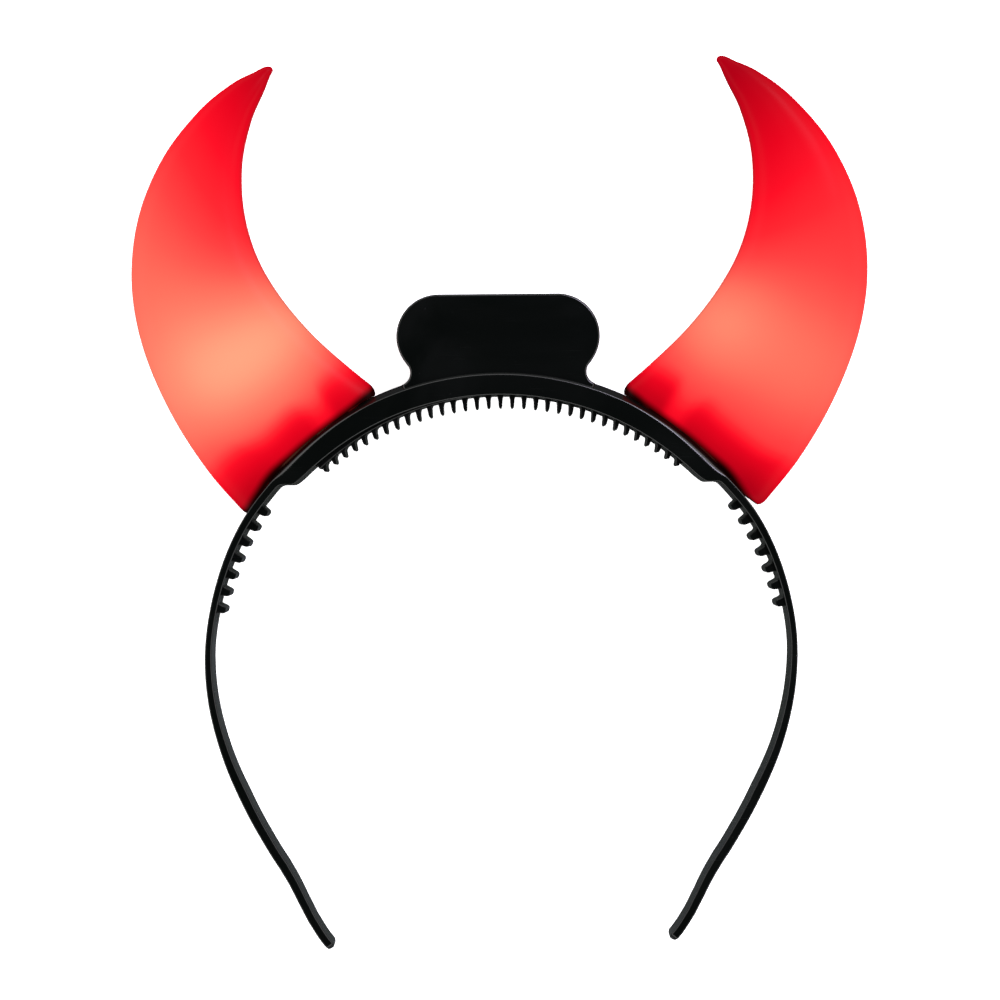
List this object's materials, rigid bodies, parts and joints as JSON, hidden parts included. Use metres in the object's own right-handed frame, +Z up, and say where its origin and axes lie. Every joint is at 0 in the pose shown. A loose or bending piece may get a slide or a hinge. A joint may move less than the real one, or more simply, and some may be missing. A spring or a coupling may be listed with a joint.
{
  "type": "light-up devil horns headband",
  "caption": "Rigid plastic hair band with toothed arms, a comb strip, a bare switch tab on top and a pair of hollow translucent red curved horns.",
  "frame": {"origin": "Bottom centre of the bounding box, on the surface that the headband lies on.", "axes": "+X runs towards the right horn, +Y from the arms' ends towards the horns' tips, and +Z up, out of the front face."},
  "size_m": [0.1758, 0.21, 0.0152],
  "materials": {
    "frame_black": "moulded black plastic, slightly glossy",
    "comb_black": "moulded black plastic, satin",
    "cover_black": "moulded black plastic, satin",
    "horn_red": "smooth translucent red plastic, lit from inside"
  },
  "bodies": {
    "root": {"headband_frame": "frame_black", "comb_strip": "comb_black", "battery_cover": "cover_black", "left_horn": "horn_red", "right_horn": "horn_red"}
  },
  "joints": []
}
